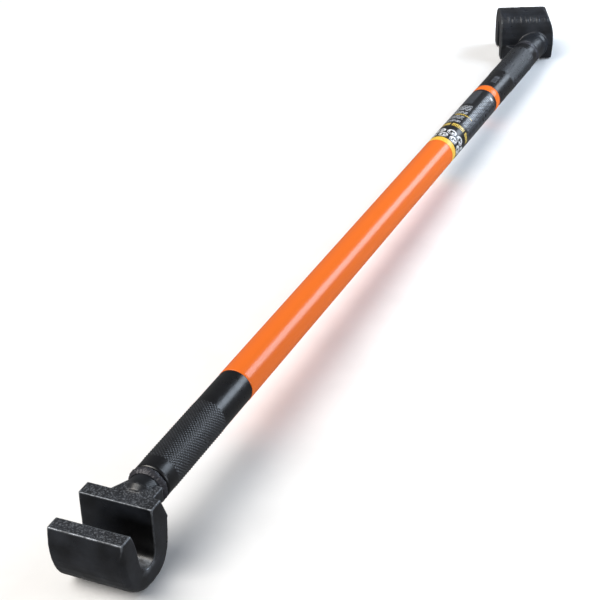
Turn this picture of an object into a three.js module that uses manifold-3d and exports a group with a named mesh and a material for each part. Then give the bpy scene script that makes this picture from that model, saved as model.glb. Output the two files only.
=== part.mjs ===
// Two-ended rebar hickey: a straight bar handle with a forged J-shaped hook welded to each end.
// Units are millimetres and +Z is up. The tool is drawn first in its own frame, with the handle's
// axis along Y and the origin at the handle's middle, and then leant to the way it lies on a floor.
import * as THREE from 'three';
import { mergeVertices } from 'three/addons/utils/BufferGeometryUtils.js';
import Module from 'manifold-3d';

const wasm = await Module();
wasm.setup();

// Driving dimensions: the handle.
const GAP = 0.3;                   // clearance kept between neighbouring pieces
const SIDES = 48;                  // facets round the handle
const GRIP_END = 511.5;            // half the distance between the two grips' outer ends
const CENTRE_END = 354.5;          // half the length of the orange stretch
const GRIP_RADIUS = 17.5;          // plain bands of the grips, 35 mm bar
const KNURL_RADIUS = 18;           // crests of the knurling
const LEAD_IN = 16.5;              // smooth stretch between the grip's end and the knurling
const KNURL_LENGTH = 87;
const END_CHAMFER = 1.5;
const DRILL_CONE = 3;              // the bore's cone-shaped end
const SHANK_RADIUS = 9;            // the hook's turned shank inside the grip
const SHANK_LENGTH = 44;
const TUBE_RADIUS = 16.2;
const TUBE_BORE = 12.2;
const SPIGOT_RADIUS = TUBE_BORE - GAP;
const SPIGOT_LENGTH = 60;
const SLEEVE_RADIUS = 17.75;       // the orange sleeve stands 0.25 mm proud of the grips
const SLEEVE_BORE = TUBE_RADIUS + GAP;
const MERGE_DISTANCE = 1e-4;       // vertices closer than this are the same corner

// Driving dimensions: the label and its border band, let into the sleeve near the far grip.
const BORDER_START = 179;
const LABEL_START = 189;
const LABEL_END = 340;
const LABEL_RECESS = 0.55;

// Driving dimensions: the hook's profile. Depth runs from the back of the hook outwards, along the
// handle, and height runs from the flat jaw tips to the outside of the bend.
const HOOK_DEPTH = 75.2;
const HOOK_HEIGHT = 67;
const BACK_JAW_FACE = 25.9;        // depth of the back jaw's flat inner face
const THROAT_HEIGHT = 47.6;        // inside of the bend above the jaw tips
const HEEL_HEIGHT = 24.6;          // the thickest part of the back jaw
const BACK_TIP = 11.2;             // depth of the back jaw's tip at its outer edge
const MOUTH = 59.6;                // depth of the front jaw's inner edge at the mouth
const FRONT_TIP_DROP = 1.2;        // the front jaw ends this much short of the back one
const EDGE_BREAK = 0.7;            // small bevel round the forging's two ends
const FRONT_LEAN = 1.4;            // the front jaw's outer face leans in by this much at its tip
const CURVE_STEPS = 10;
const FLAT_FACE_SHARE = 0.76;      // share of the throat's height at which the flat inner face ends
const FRONT_FLAT_SHARE = 0.25;     // share of the hook's height at which the front jaw starts to curve

// Handles of the profile's curves, as [depth, share of the height that the curve belongs to]. Each
// curve has two handles and an end.
const THROAT_BACK_CURVE = [[BACK_JAW_FACE, 0.92], [31, 1], [37, 1]];
const THROAT_FRONT_CURVE = [[44, 1], [49, 0.84], [51, 0.65]];
const FRONT_JAW_CURVE = [[52.5, 0.42], [55, 0.19], [MOUTH, FRONT_TIP_DROP / THROAT_HEIGHT]];
const BEND_CURVE = [[HOOK_DEPTH, 0.67], [60, 0.985], [34, 1]];
const HEEL_CURVE = [[14, 1], [1, 0.93], [0, HEEL_HEIGHT / HOOK_HEIGHT]];

// Driving dimensions: the neck, as lengths from the station where its root ends.
const ROOT_LENGTH = 5;             // the thicker root ring that the neck grows from
const ROOT_FILLET = 3;
const DOME_LENGTH = 8;             // the neck's rounded end inside the jaw
const DOME_SHOULDER = 5;
const DOME_SHOULDER_SHARE = 0.8;   // share of the root's radius left at the dome's shoulder
const DOME_TIP_SHARE = 0.42;

// Driving dimensions: how the two hooks differ. Levels and stations are measured from the handle's
// axis and from the back of the hook, and a yaw turns the hook about the upright line there. A bead
// is the outside of its section as [radius, station], and a web is its outline seen from the tips.
const NEAR = {
  height: 68.8,
  left: -42.7,
  right: 25.3,
  tipLevel: 9.2,
  neckLength: 16,
  neckRadius: 14.7,
  rootRadius: 14.7,
  rootStation: -4,
  yaw: 0,
  bead: [[15.6, 8.2], [17.2, 9.4], [18.3, 11.4], [18.4, 13.2], [17.5, 14.8], [16.6, 15.7]],
  webDepth: 13,
  webInset: 0,
  web: [[-20, -14], [-20, -10.3], [-12.5, 4.2], [-12.5, 5], [18.5, 5], [18.5, -14]],
};
const FAR = {
  height: 62.3,
  left: -41.8,
  right: 27.5,
  tipLevel: 22,
  neckLength: 37,
  neckRadius: 17.2,
  rootRadius: 18.7,
  rootStation: -8,
  yaw: 24,
  bead: [[17, 29.6], [17.7, 31], [17.8, 33], [17.2, 34.6], [17.3, 35.8], [16.7, 36.7]],
  webDepth: 22.8,
  webInset: 3,
  web: [[-39, -14], [-39, -3], [-36, -1], [-27.5, 9], [-18, 9], [-6, 2], [10, -6], [10, -14]],
};
const BEVEL_SIZE = 4.5;            // broad bevel on the near bend's right end
const BEVEL_WIDTH = 6.5;
const BEVEL_MARGIN = 12;           // how far the trimming blocks reach past the hook
const BEVEL_TIP_SHARE = 0.7;       // share of the bevel's size left at the jaw tip
const CORNER_WIDTH = 12.5;         // rounded right-hand corner of the far bend
const CORNER_HEIGHT = 32;
const TRIM_CLEARANCE = 1;          // faces that the trimming block leaves alone stay this far inside it
const TRIM_SKIM = 0.2;
const WELD_SEAT_RADIUS = 14.7;     // the neck where the weld bead sits
const REST_LEAN = 1.87;            // degrees; the tool lies on the near bend and the far jaw tips

const STEEL_BLACK = 0x1c1e23;
const blackSteel = () => new THREE.MeshStandardMaterial({ color: STEEL_BLACK, metalness: 0.6, roughness: 0.42 });
const weldSteel = () => new THREE.MeshStandardMaterial({ color: 0x2a2c31, metalness: 0.7, roughness: 0.3 });
const knurledSteel = () => new THREE.MeshStandardMaterial({ color: 0x2b2d31, metalness: 0.6, roughness: 0.5 });
const bareSteel = () => new THREE.MeshStandardMaterial({ color: 0x6d7074, metalness: 0.9, roughness: 0.45 });
const orangeVinyl = () => new THREE.MeshStandardMaterial({ color: 0xf06a14, metalness: 0, roughness: 0.25 });
const labelFilm = () => new THREE.MeshStandardMaterial({ color: 0x17181a, metalness: 0, roughness: 0.35 });
const borderFilm = () => new THREE.MeshStandardMaterial({ color: 0xf3c437, metalness: 0, roughness: 0.35 });

/** Turns a closed geometry into a solid that can be joined and cut. */
function toSolid(geometry) {
  const bare = geometry.index ? geometry.toNonIndexed() : geometry.clone();
  bare.deleteAttribute('normal');
  bare.deleteAttribute('uv');
  const merged = mergeVertices(bare, MERGE_DISTANCE);
  return new wasm.Manifold(new wasm.Mesh({
    numProp: 3,
    vertProperties: new Float32Array(merged.attributes.position.array),
    triVerts: new Uint32Array(merged.index.array),
  }));
}

/** Turns a solid back into a geometry with flat normals. */
function toGeometry(solid) {
  const mesh = solid.getMesh();
  const geometry = new THREE.BufferGeometry();
  geometry.setAttribute('position', new THREE.BufferAttribute(new Float32Array(mesh.vertProperties), 3));
  geometry.setIndex(new THREE.BufferAttribute(new Uint32Array(mesh.triVerts), 1));
  geometry.computeVertexNormals();
  return geometry;
}

/** Revolves [radius, station] pairs about Y. The profile is closed or starts and ends on the axis. */
function revolve(profile) {
  const points = profile.map(([radius, station]) => new THREE.Vector2(radius, station));
  return new THREE.LatheGeometry(points, SIDES);
}

/** A plain ring about Y. Its profile runs so that the faces point outwards. */
function ring(inner, outer, start, end) {
  return revolve([[inner, start], [outer, start], [outer, end], [inner, end], [inner, start]]);
}

function namedMesh(name, geometry, material) {
  const mesh = new THREE.Mesh(geometry, material);
  mesh.name = name;
  return mesh;
}

/** Adds a curve whose handles are given as depths and shares of a height. */
function addCurve(shape, handles, height) {
  const [first, second, end] = handles;
  shape.bezierCurveTo(first[0], first[1] * height, second[0], second[1] * height, end[0], end[1] * height);
}

/** The outside of a hook's side view, from the front jaw's flat face round the bend to the heel. */
function traceOutside(shape, height) {
  addCurve(shape, BEND_CURVE, height);
  addCurve(shape, HEEL_CURVE, height);
}

/** The J-shaped side view of a hook, as a shape in (depth, height). */
function hookProfile(height) {
  const throat = (THROAT_HEIGHT * height) / HOOK_HEIGHT;
  const shape = new THREE.Shape();
  shape.moveTo(BACK_TIP, 0);
  shape.lineTo(BACK_JAW_FACE, 0);
  shape.lineTo(BACK_JAW_FACE, throat * FLAT_FACE_SHARE);
  addCurve(shape, THROAT_BACK_CURVE, throat);
  addCurve(shape, THROAT_FRONT_CURVE, throat);
  addCurve(shape, FRONT_JAW_CURVE, throat);
  shape.lineTo(HOOK_DEPTH - FRONT_LEAN, FRONT_TIP_DROP);
  shape.lineTo(HOOK_DEPTH, height * FRONT_FLAT_SHARE);
  traceOutside(shape, height);
  shape.lineTo(BACK_TIP, 0);
  return shape;
}

/** Turns a solid drawn in (depth, height, width) so that it hangs below its jaw tips. */
function hang(geometry, width, tipLevel) {
  const turn = new THREE.Matrix4();
  turn.set(0, 0, 1, width, -1, 0, 0, 0, 0, -1, 0, tipLevel, 0, 0, 0, 1);
  return geometry.applyMatrix4(turn);
}

/** The J profile carried across the tool from left to right, with a small bevel at both ends. */
function hookBlank(height, left, right, tipLevel) {
  const blank = new THREE.ExtrudeGeometry(hookProfile(height), {
    depth: right - left - 2 * EDGE_BREAK,
    bevelThickness: EDGE_BREAK,
    bevelSize: EDGE_BREAK,
    bevelOffset: -EDGE_BREAK,
    bevelSegments: 2,
    curveSegments: CURVE_STEPS,
  });
  return hang(blank, left + EDGE_BREAK, tipLevel);
}

/** A block that leaves a broad bevel on the outside of the bend at the hook's right end. */
function endBevelBlock(height, left, right, tipLevel) {
  const shape = new THREE.Shape();
  shape.moveTo(-BEVEL_MARGIN, -BEVEL_MARGIN);
  shape.lineTo(HOOK_DEPTH + BEVEL_SIZE, -BEVEL_MARGIN);
  shape.lineTo(HOOK_DEPTH + BEVEL_SIZE * BEVEL_TIP_SHARE, 0);
  shape.lineTo(HOOK_DEPTH, height * FRONT_FLAT_SHARE);
  traceOutside(shape, height);
  shape.lineTo(-BEVEL_MARGIN, height * FRONT_FLAT_SHARE);
  const block = new THREE.ExtrudeGeometry(shape, {
    depth: right - left,
    bevelThickness: BEVEL_WIDTH,
    bevelSize: BEVEL_SIZE,
    bevelOffset: -BEVEL_SIZE,
    bevelSegments: 3,
    curveSegments: CURVE_STEPS,
  });
  return hang(block, left - BEVEL_WIDTH, tipLevel);
}

/** A block that rounds off the bend's right-hand corner as seen along the handle. */
function cornerRoundBlock(height, left, right, tipLevel) {
  const shape = new THREE.Shape();
  const start = left - TRIM_CLEARANCE;
  const top = tipLevel + TRIM_CLEARANCE;
  const bottom = tipLevel - height;
  const corner = right - CORNER_WIDTH;
  shape.moveTo(start, top);
  shape.lineTo(start, bottom - TRIM_CLEARANCE);
  shape.lineTo(corner, bottom - TRIM_CLEARANCE);
  shape.absellipse(corner, bottom + CORNER_HEIGHT, CORNER_WIDTH + TRIM_SKIM, CORNER_HEIGHT,
    -Math.PI / 2, 0, false);
  shape.lineTo(right + TRIM_SKIM, top);
  const block = new THREE.ExtrudeGeometry(shape, {
    depth: HOOK_DEPTH + 2 * BEVEL_MARGIN,
    bevelEnabled: false,
    curveSegments: CURVE_STEPS,
  });
  block.rotateX(Math.PI / 2);
  return block.translate(0, BEVEL_MARGIN, 0);
}

/** The neck: a round bar from the weld into the back jaw, with a domed end and a turned shank. */
function neckSolid(hook) {
  const shoulder = hook.neckLength - GAP;
  const beadStart = hook.bead[0][1] - GAP;
  const inner = hook.rootStation;
  return toSolid(revolve([
    [0, inner - DOME_LENGTH],
    [hook.rootRadius * DOME_TIP_SHARE, inner - DOME_LENGTH],
    [hook.rootRadius * DOME_SHOULDER_SHARE, inner - DOME_SHOULDER],
    [hook.rootRadius, inner],
    [hook.rootRadius, inner + ROOT_LENGTH],
    [hook.neckRadius, inner + ROOT_LENGTH + ROOT_FILLET],
    [hook.neckRadius, beadStart],
    [WELD_SEAT_RADIUS, beadStart],
    [WELD_SEAT_RADIUS, shoulder],
    [SHANK_RADIUS, shoulder],
    [SHANK_RADIUS, shoulder + SHANK_LENGTH - END_CHAMFER],
    [SHANK_RADIUS - END_CHAMFER, shoulder + SHANK_LENGTH],
    [0, shoulder + SHANK_LENGTH],
  ]));
}

/** The flat web behind the back jaw, at or near the level of the jaw tips. */
function webSolid(hook) {
  const shape = new THREE.Shape(hook.web.map(([x, y]) => new THREE.Vector2(x, y)));
  const thickness = hook.webDepth - hook.webInset;
  const web = new THREE.ExtrudeGeometry(shape, { depth: thickness, bevelEnabled: false });
  return toSolid(web.translate(0, 0, hook.tipLevel - hook.webDepth));
}

/** One forged hook: J-shaped jaws, web and neck in a single solid. */
function hookGeometry(hook, trimBlock) {
  const { height, left, right, tipLevel } = hook;
  const jaws = toSolid(hookBlank(height, left, right, tipLevel));
  const trimmed = jaws.intersect(toSolid(trimBlock(height, left, right, tipLevel)));
  const head = trimmed.add(webSolid(hook)).rotate([0, 0, -hook.yaw]);
  return toGeometry(head.add(neckSolid(hook)));
}

/** The bead that welds a neck to its grip, as a ring round the neck's seat. */
function beadGeometry(bead) {
  const seat = WELD_SEAT_RADIUS + GAP;
  const first = [seat, bead[0][1]];
  const last = bead[bead.length - 1];
  return revolve([first, ...bead, [seat, last[1]], first]);
}

/** A grip: a turned bar with a knurled stretch, a bore for the shank and a spigot for the tube. */
function gripGeometry() {
  const length = GRIP_END - CENTRE_END;
  const knurlEnd = LEAD_IN + KNURL_LENGTH;
  const step = KNURL_RADIUS - GRIP_RADIUS;
  const bore = SHANK_RADIUS + GAP;
  return revolve([
    [0, SHANK_LENGTH + GAP + DRILL_CONE],
    [bore, SHANK_LENGTH + GAP],
    [bore, 0],
    [GRIP_RADIUS - END_CHAMFER, 0],
    [GRIP_RADIUS, END_CHAMFER],
    [GRIP_RADIUS, LEAD_IN - step],
    [KNURL_RADIUS, LEAD_IN],
    [KNURL_RADIUS, knurlEnd],
    [GRIP_RADIUS, knurlEnd + step],
    [GRIP_RADIUS, length - GAP],
    [SPIGOT_RADIUS, length - GAP],
    [SPIGOT_RADIUS, length + SPIGOT_LENGTH - END_CHAMFER],
    [SPIGOT_RADIUS - END_CHAMFER, length + SPIGOT_LENGTH],
    [0, length + SPIGOT_LENGTH],
  ]);
}

/** The orange sleeve over the tube, rolled down a little where the label is stuck on. */
function sleeveGeometry() {
  const seat = SLEEVE_RADIUS - LABEL_RECESS;
  return revolve([
    [SLEEVE_BORE, -CENTRE_END],
    [SLEEVE_RADIUS, -CENTRE_END],
    [SLEEVE_RADIUS, BORDER_START - GAP],
    [seat, BORDER_START - GAP],
    [seat, LABEL_END + GAP],
    [SLEEVE_RADIUS, LABEL_END + GAP],
    [SLEEVE_RADIUS, CENTRE_END],
    [SLEEVE_BORE, CENTRE_END],
    [SLEEVE_BORE, -CENTRE_END],
  ]);
}

/** One end of the tool, drawn for the near end: hook, weld bead and grip along +Y. */
function toolEnd(name, hook, trimBlock) {
  const end = new THREE.Group();
  const grip = namedMesh(`${name}_grip`, gripGeometry(), knurledSteel());
  grip.position.y = hook.neckLength;
  end.add(namedMesh(`${name}_hook`, hookGeometry(hook, trimBlock), blackSteel()));
  end.add(namedMesh(`${name}_weld_bead`, beadGeometry(hook.bead), weldSteel()));
  end.add(grip);
  return end;
}

const tool = new THREE.Group();

const nearEnd = toolEnd('near', NEAR, endBevelBlock);
nearEnd.position.y = -GRIP_END - NEAR.neckLength;
tool.add(nearEnd);

// The far end is the same pattern turned over, so that its hook opens the other way.
const farEnd = toolEnd('far', FAR, cornerRoundBlock);
farEnd.position.y = GRIP_END + FAR.neckLength;
farEnd.rotation.x = Math.PI;
tool.add(farEnd);

const tube = ring(TUBE_BORE, TUBE_RADIUS, GAP - CENTRE_END, CENTRE_END - GAP);
tool.add(namedMesh('centre_tube', tube, bareSteel()));
tool.add(namedMesh('orange_sleeve', sleeveGeometry(), orangeVinyl()));

const labelBore = SLEEVE_RADIUS - LABEL_RECESS + GAP;
const border = ring(labelBore, SLEEVE_RADIUS, BORDER_START, LABEL_START - GAP);
tool.add(namedMesh('label_border', border, borderFilm()));
const label = ring(labelBore, SLEEVE_RADIUS, LABEL_START, LABEL_END);
tool.add(namedMesh('label_wrap', label, labelFilm()));

// The tool lies on the near bend and the far jaw tips, so it leans down towards the far end. Its
// origin is then moved to the middle of the bottom of its bounding box.
tool.rotation.x = -THREE.MathUtils.degToRad(REST_LEAN);
const bounds = new THREE.Box3().setFromObject(tool, true);
const middle = bounds.getCenter(new THREE.Vector3());
tool.position.set(-middle.x, -middle.y, -bounds.min.z);

const row = new THREE.Group();
row.add(tool);

export default row;
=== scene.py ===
"""The looks of a two-ended rebar hickey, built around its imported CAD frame.

The tool is a long bar handle with a forged J-shaped hook welded to each end. Each piece is drawn in the
tool's own frame, in millimetres: Y runs along the handle from the near hook to the far one, Z is up, and
the origin is the middle of the tube inside the orange sleeve. ToolFrame reads from the CAD where that frame
lies, and turns each piece into metres.
"""

from __future__ import annotations

import logging
import math
from dataclasses import dataclass
from enum import Enum
from typing import Any, Callable

import bmesh
import bpy
import numpy as np
from mathutils import Matrix, Vector, noise


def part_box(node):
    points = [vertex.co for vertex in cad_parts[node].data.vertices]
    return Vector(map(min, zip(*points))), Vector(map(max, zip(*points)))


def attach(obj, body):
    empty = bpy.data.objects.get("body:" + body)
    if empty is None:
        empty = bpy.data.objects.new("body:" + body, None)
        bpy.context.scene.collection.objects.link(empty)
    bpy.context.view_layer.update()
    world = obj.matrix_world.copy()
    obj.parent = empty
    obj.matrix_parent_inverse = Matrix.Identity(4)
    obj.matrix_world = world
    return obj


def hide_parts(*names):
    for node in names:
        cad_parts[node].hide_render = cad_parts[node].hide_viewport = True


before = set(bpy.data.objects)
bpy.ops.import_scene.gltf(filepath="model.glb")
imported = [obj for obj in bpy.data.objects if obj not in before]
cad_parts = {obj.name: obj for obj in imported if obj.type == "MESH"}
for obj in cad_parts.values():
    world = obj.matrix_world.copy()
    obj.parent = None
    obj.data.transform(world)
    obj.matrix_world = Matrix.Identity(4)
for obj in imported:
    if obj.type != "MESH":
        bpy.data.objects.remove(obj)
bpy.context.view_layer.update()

LOG = logging.getLogger("rebar_hickey")
MM = 0.001
BODY = "root"
# A turned cap starts this far from the axis, because a single point can't be turned.
AXIS_RADIUS = 0.01

Profile = list[tuple[float, float]]


# ------------------------------------------------------------------------------
# Small helpers
# ------------------------------------------------------------------------------


def linear(code: str) -> tuple[float, float, float, float]:
    """Turns an sRGB hex colour into the linear colour that a shader takes.

    Args:
        code: Six hex digits, red first.

    Returns:
        Linear red, green and blue, and an alpha of one.
    """
    shares = [int(code[i : i + 2], 16) / 255 for i in (0, 2, 4)]
    red, green, blue = (s / 12.92 if s <= 0.04045 else ((s + 0.055) / 1.055) ** 2.4 for s in shares)
    return red, green, blue, 1.0


def per_metre(size_mm: float) -> float:
    """Gives the pattern scale at which one feature is size_mm across."""
    return 1 / (size_mm * MM)


def add(
    tree: bpy.types.NodeTree, kind: str, links: dict[Any, Any] | None = None, **settings: Any
) -> bpy.types.Node:
    """Adds a shader node with its settings and links.

    Args:
        tree: The material's node tree.
        kind: The node's type without its ShaderNode prefix.
        links: Input name or number to the socket that feeds it, or to the value that it holds.
        settings: Properties of the node itself.

    Returns:
        The new node.
    """
    made = tree.nodes.new("ShaderNode" + kind)
    for name, value in settings.items():
        setattr(made, name, value)
    for name, value in (links or {}).items():
        socket = made.inputs[name]
        if isinstance(value, bpy.types.NodeSocket):
            tree.links.new(value, socket)
        else:
            socket.default_value = value
    return made


def set_stops(ramp: bpy.types.Node, stops: list[tuple[float, str]]) -> None:
    """Gives a colour ramp its stops, each a place from 0 to 1 and an sRGB hex colour."""
    elements = ramp.color_ramp.elements
    while len(elements) < len(stops):
        elements.new(1.0)
    for element, (place, code) in zip(elements, stops):
        element.position = place
        element.color = linear(code)


def object_from(
    name: str, points: np.ndarray, faces: list[tuple[int, ...]], smooth_angle: float
) -> bpy.types.Object:
    """Makes a mesh object from points in metres, shaded smooth except at edges sharper than an angle.

    Args:
        name: The piece's name.
        points: One row for each vertex.
        faces: Vertex numbers of each face, counterclockwise seen from outside.
        smooth_angle: Edges sharper than this, in degrees, stay sharp.

    Returns:
        The new object, linked to the scene.
    """
    mesh = bpy.data.meshes.new(name)
    mesh.from_pydata(points.tolist(), [], faces)
    mesh.update()
    mesh.shade_smooth()
    mesh.set_sharp_from_angle(angle=math.radians(smooth_angle))
    made = bpy.data.objects.new(name, mesh)
    bpy.context.scene.collection.objects.link(made)
    return made


def vertex_rows(mesh: bpy.types.Mesh, value: str) -> np.ndarray:
    """Reads co or normal from a mesh, one row for each vertex."""
    rows = np.zeros(len(mesh.vertices) * 3)
    mesh.vertices.foreach_get(value, rows)
    return rows.reshape(-1, 3)


def fit(piece: bpy.types.Object, node: str, materials: list[bpy.types.Material]) -> None:
    """Puts a finished piece in its CAD node's place and gives it its materials."""
    piece.data.materials.clear()
    for material in materials:
        piece.data.materials.append(material)
    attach(piece, BODY)
    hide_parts(node)
    LOG.info("%s stands for %s, %d faces", piece.name, node, len(piece.data.polygons))


@dataclass(frozen=True)
class ToolFrame:
    """Where the tool's own frame lies in the row frame."""

    matrix: Matrix

    @classmethod
    def from_cad(cls) -> ToolFrame:
        """Finds the handle's axis from the two rings that are centred on it."""
        low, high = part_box("centre_tube")
        origin = (low + high) / 2
        low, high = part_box("label_wrap")
        along = (low + high) / 2 - origin
        lean = math.atan2(along.z, along.y)
        return cls(Matrix.Translation(origin) @ Matrix.Rotation(lean, 4, "X") @ Matrix.Scale(MM, 4))

    def to_row(self, points: np.ndarray) -> np.ndarray:
        """Turns tool points in millimetres into row points in metres."""
        turn = np.array(self.matrix)
        return points @ turn[:3, :3].T + turn[:3, 3]

    def to_tool(self, points: np.ndarray) -> np.ndarray:
        """Turns row points in metres into tool points in millimetres."""
        turn = np.array(self.matrix.inverted())
        return points @ turn[:3, :3].T + turn[:3, 3]

    def stations(self, node: str) -> tuple[float, float]:
        """Gives a CAD node's first and last station along the handle, in millimetres."""
        along = self.to_tool(vertex_rows(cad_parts[node].data, "co"))[:, 1]
        return float(along.min()), float(along.max())


@dataclass
class Lathe:
    """A profile of (radius, station) pairs turned about the handle's axis, with columns of faces round it."""

    profile: Profile
    columns: int
    closed: bool = True

    def angles(self) -> np.ndarray:
        """Gives each column's angle from the top towards the right, in radians."""
        return np.arange(self.columns) * 2 * math.pi / self.columns

    def points(self, relief: Callable[[np.ndarray, np.ndarray], np.ndarray] | None = None) -> np.ndarray:
        """Places the points of the turned shape.

        Args:
            relief: Gives how far a point stands out from the profile, from its row number and angle.

        Returns:
            Points in the tool frame, row after row.
        """
        rows = np.array(self.profile)
        angle = np.tile(self.angles(), (len(rows), 1))
        number = np.tile(np.arange(len(rows))[:, None], (1, self.columns))
        radius = np.tile(rows[:, :1], (1, self.columns))
        if relief is not None:
            radius = radius + relief(number, angle)
        station = np.tile(rows[:, 1:], (1, self.columns))
        return np.stack([radius * np.sin(angle), station, radius * np.cos(angle)], -1).reshape(-1, 3)

    def faces(self) -> list[tuple[int, ...]]:
        """Joins neighbouring rows with quads, and ends an open profile with a flat cap at each end."""
        count = len(self.profile)
        last = count if self.closed else count - 1
        quads = []
        for row in range(last):
            here, there = row * self.columns, ((row + 1) % count) * self.columns
            for column in range(self.columns):
                right = (column + 1) % self.columns
                quads.append((here + column, here + right, there + right, there + column))
        if not self.closed:
            quads.append(tuple(reversed(range(self.columns))))
            quads.append(tuple((count - 1) * self.columns + column for column in range(self.columns)))
        return quads


def even_steps(start: float, end: float, step: float) -> np.ndarray:
    """Gives stations from start to end, evenly spaced by about step."""
    return np.linspace(start, end, max(2, round(abs(end - start) / step) + 1))


def ramp(values: np.ndarray, start: float, width: float) -> np.ndarray:
    """Rises evenly from 0 at start to 1 over a width, and stays there."""
    return np.clip((values - start) / width, 0, 1)


# ------------------------------------------------------------------------------
# Finishes
# ------------------------------------------------------------------------------


class Finish:
    """A material that is built once and then shared by the pieces that wear it."""

    name: str

    def material(self) -> bpy.types.Material:
        """Gives the finish's material, building it the first time."""
        found = bpy.data.materials.get(self.name)
        if found is not None:
            return found
        made = bpy.data.materials.new(self.name)
        made.use_nodes = True
        tree = made.node_tree
        tree.nodes.clear()
        shader = add(tree, "BsdfPrincipled")
        output = add(tree, "OutputMaterial")
        tree.links.new(shader.outputs[0], output.inputs["Surface"])
        place = add(tree, "TexCoord").outputs["Object"]
        self.dress(tree, shader, place)
        return made

    def dress(self, tree: bpy.types.NodeTree, shader: bpy.types.Node, place: bpy.types.NodeSocket) -> None:
        """Adds the nodes that make the finish.

        Args:
            tree: The material's nodes.
            shader: The surface shader to feed.
            place: Object coordinates, in metres.
        """
        raise NotImplementedError


def grain(
    tree: bpy.types.NodeTree, place: bpy.types.NodeSocket, size_mm: float, detail: float = 3.0
) -> Any:
    """Adds a soft noise whose features are size_mm across, and gives its value."""
    links = {"Vector": place, "Scale": per_metre(size_mm), "Detail": detail}
    return add(tree, "TexNoise", links).outputs["Fac"]


def between(
    tree: bpy.types.NodeTree, value: Any, low: float, high: float, start: float = 0.3, end: float = 0.7
) -> Any:
    """Maps a value that runs from start to end onto low to high, and gives the result."""
    links = {"Value": value, "From Min": start, "From Max": end, "To Min": low, "To Max": high}
    return add(tree, "MapRange", links).outputs["Result"]


def emboss(tree: bpy.types.NodeTree, height: Any, depth_mm: float, strength: float, under: Any = None) -> Any:
    """Adds a bump of a real depth over the one under it, and gives its normal."""
    links = {"Height": height, "Distance": depth_mm * MM, "Strength": strength}
    if under is not None:
        links["Normal"] = under
    return add(tree, "Bump", links).outputs["Normal"]


@dataclass(frozen=True)
class ForgedEnamel(Finish):
    """Black stoving enamel sprayed over a forged and shot-blasted steel hook.

    The enamel is thin, so the forging's skin shows through it. It is satin on the smooth faces and dull on
    the rough jaw tips. The throat is painted near-black as painted shade. The pale grey edges are partly
    steel where the enamel is rubbed through and partly painted highlight, and a pale patch on the throat
    floor is a painted highlight.
    """

    name: str = "forged_enamel"
    dark: str = "0F1115"
    pale: str = "23262C"
    # Pale grey for the edges, partly rubbed steel and partly painted highlight, and for the throat floor, a
    # painted highlight.
    rubbed_and_highlight: str = "8D9299"
    dust: str = "5A5E64"
    # Near-black painted shade for the throat, which the front jaw shades.
    throat_shade_black: str = "050506"
    cloud_mm: float = 22.0
    speckle_mm: float = 1.5
    patch_mm: float = 4.0
    sheen_mm: float = 9.0
    skin_mm: float = 2.6
    peel_mm: float = 0.9

    def dress(self, tree: bpy.types.NodeTree, shader: bpy.types.Node, place: bpy.types.NodeSocket) -> None:
        """Mixes enamel, dusty hollows, painted throat shade, pale edges that are partly rubbed steel and
        partly painted highlight, and a painted highlight on the throat floor, by the masks painted on the
        mesh.
        """
        clouds = grain(tree, place, self.cloud_mm)
        coat = add(tree, "ValToRGB", {"Fac": clouds})
        set_stops(coat, [(0.32, self.dark), (0.7, self.pale)])
        cast = add(tree, "Attribute", attribute_name="cast").outputs["Fac"]
        speckle = between(tree, grain(tree, place, self.speckle_mm, 4.0), 0.0, 1.0, 0.5, 0.64)
        dusty = add(tree, "Math", {0: cast, 1: speckle}, operation="MULTIPLY").outputs[0]
        # This mask paints shade into the throat, darkest towards the right.
        throat_shade = add(tree, "Attribute", attribute_name="throat_shade").outputs["Fac"]
        coated = self.blend(tree, throat_shade, coat.outputs[0], self.throat_shade_black)
        cast_colour = self.blend(tree, dusty, coated, self.dust)
        # This mask paints the pale edges, partly wear and partly painted highlight, and a painted highlight
        # on the throat floor.
        wear_and_highlight = add(tree, "Attribute", attribute_name="wear_and_highlight").outputs["Fac"]
        patchy = between(tree, grain(tree, place, self.patch_mm, 5.0), 0.25, 1.0, 0.38, 0.6)
        rubbed_and_highlight = add(tree, "Math", {0: wear_and_highlight, 1: patchy}, operation="MULTIPLY", use_clamp=True).outputs[0]
        colour = self.blend(tree, rubbed_and_highlight, cast_colour, self.rubbed_and_highlight)
        tree.links.new(colour, shader.inputs["Base Color"])
        tree.links.new(between(tree, rubbed_and_highlight, 0.0, 0.85, 0.0, 1.0), shader.inputs["Metallic"])
        smooth = between(tree, grain(tree, place, self.sheen_mm), 0.27, 0.4)
        dull = between(tree, cast, 0.0, 0.22, 0.0, 1.0)
        total = add(tree, "Math", {0: smooth, 1: dull}, operation="ADD").outputs[0]
        tree.links.new(total, shader.inputs["Roughness"])
        skin = emboss(tree, grain(tree, place, self.skin_mm), 0.09, 0.35)
        peel = emboss(tree, grain(tree, place, self.peel_mm, 2.0), 0.03, 0.4, skin)
        tree.links.new(peel, shader.inputs["Normal"])
        shader.inputs["IOR"].default_value = 1.52

    @staticmethod
    def blend(tree: bpy.types.NodeTree, share: Any, under: Any, code: str) -> Any:
        """Mixes a share of an sRGB hex colour over the colour under it."""
        links = {"Fac": share, "Color1": under, "Color2": linear(code)}
        return add(tree, "MixRGB", links).outputs[0]


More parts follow.
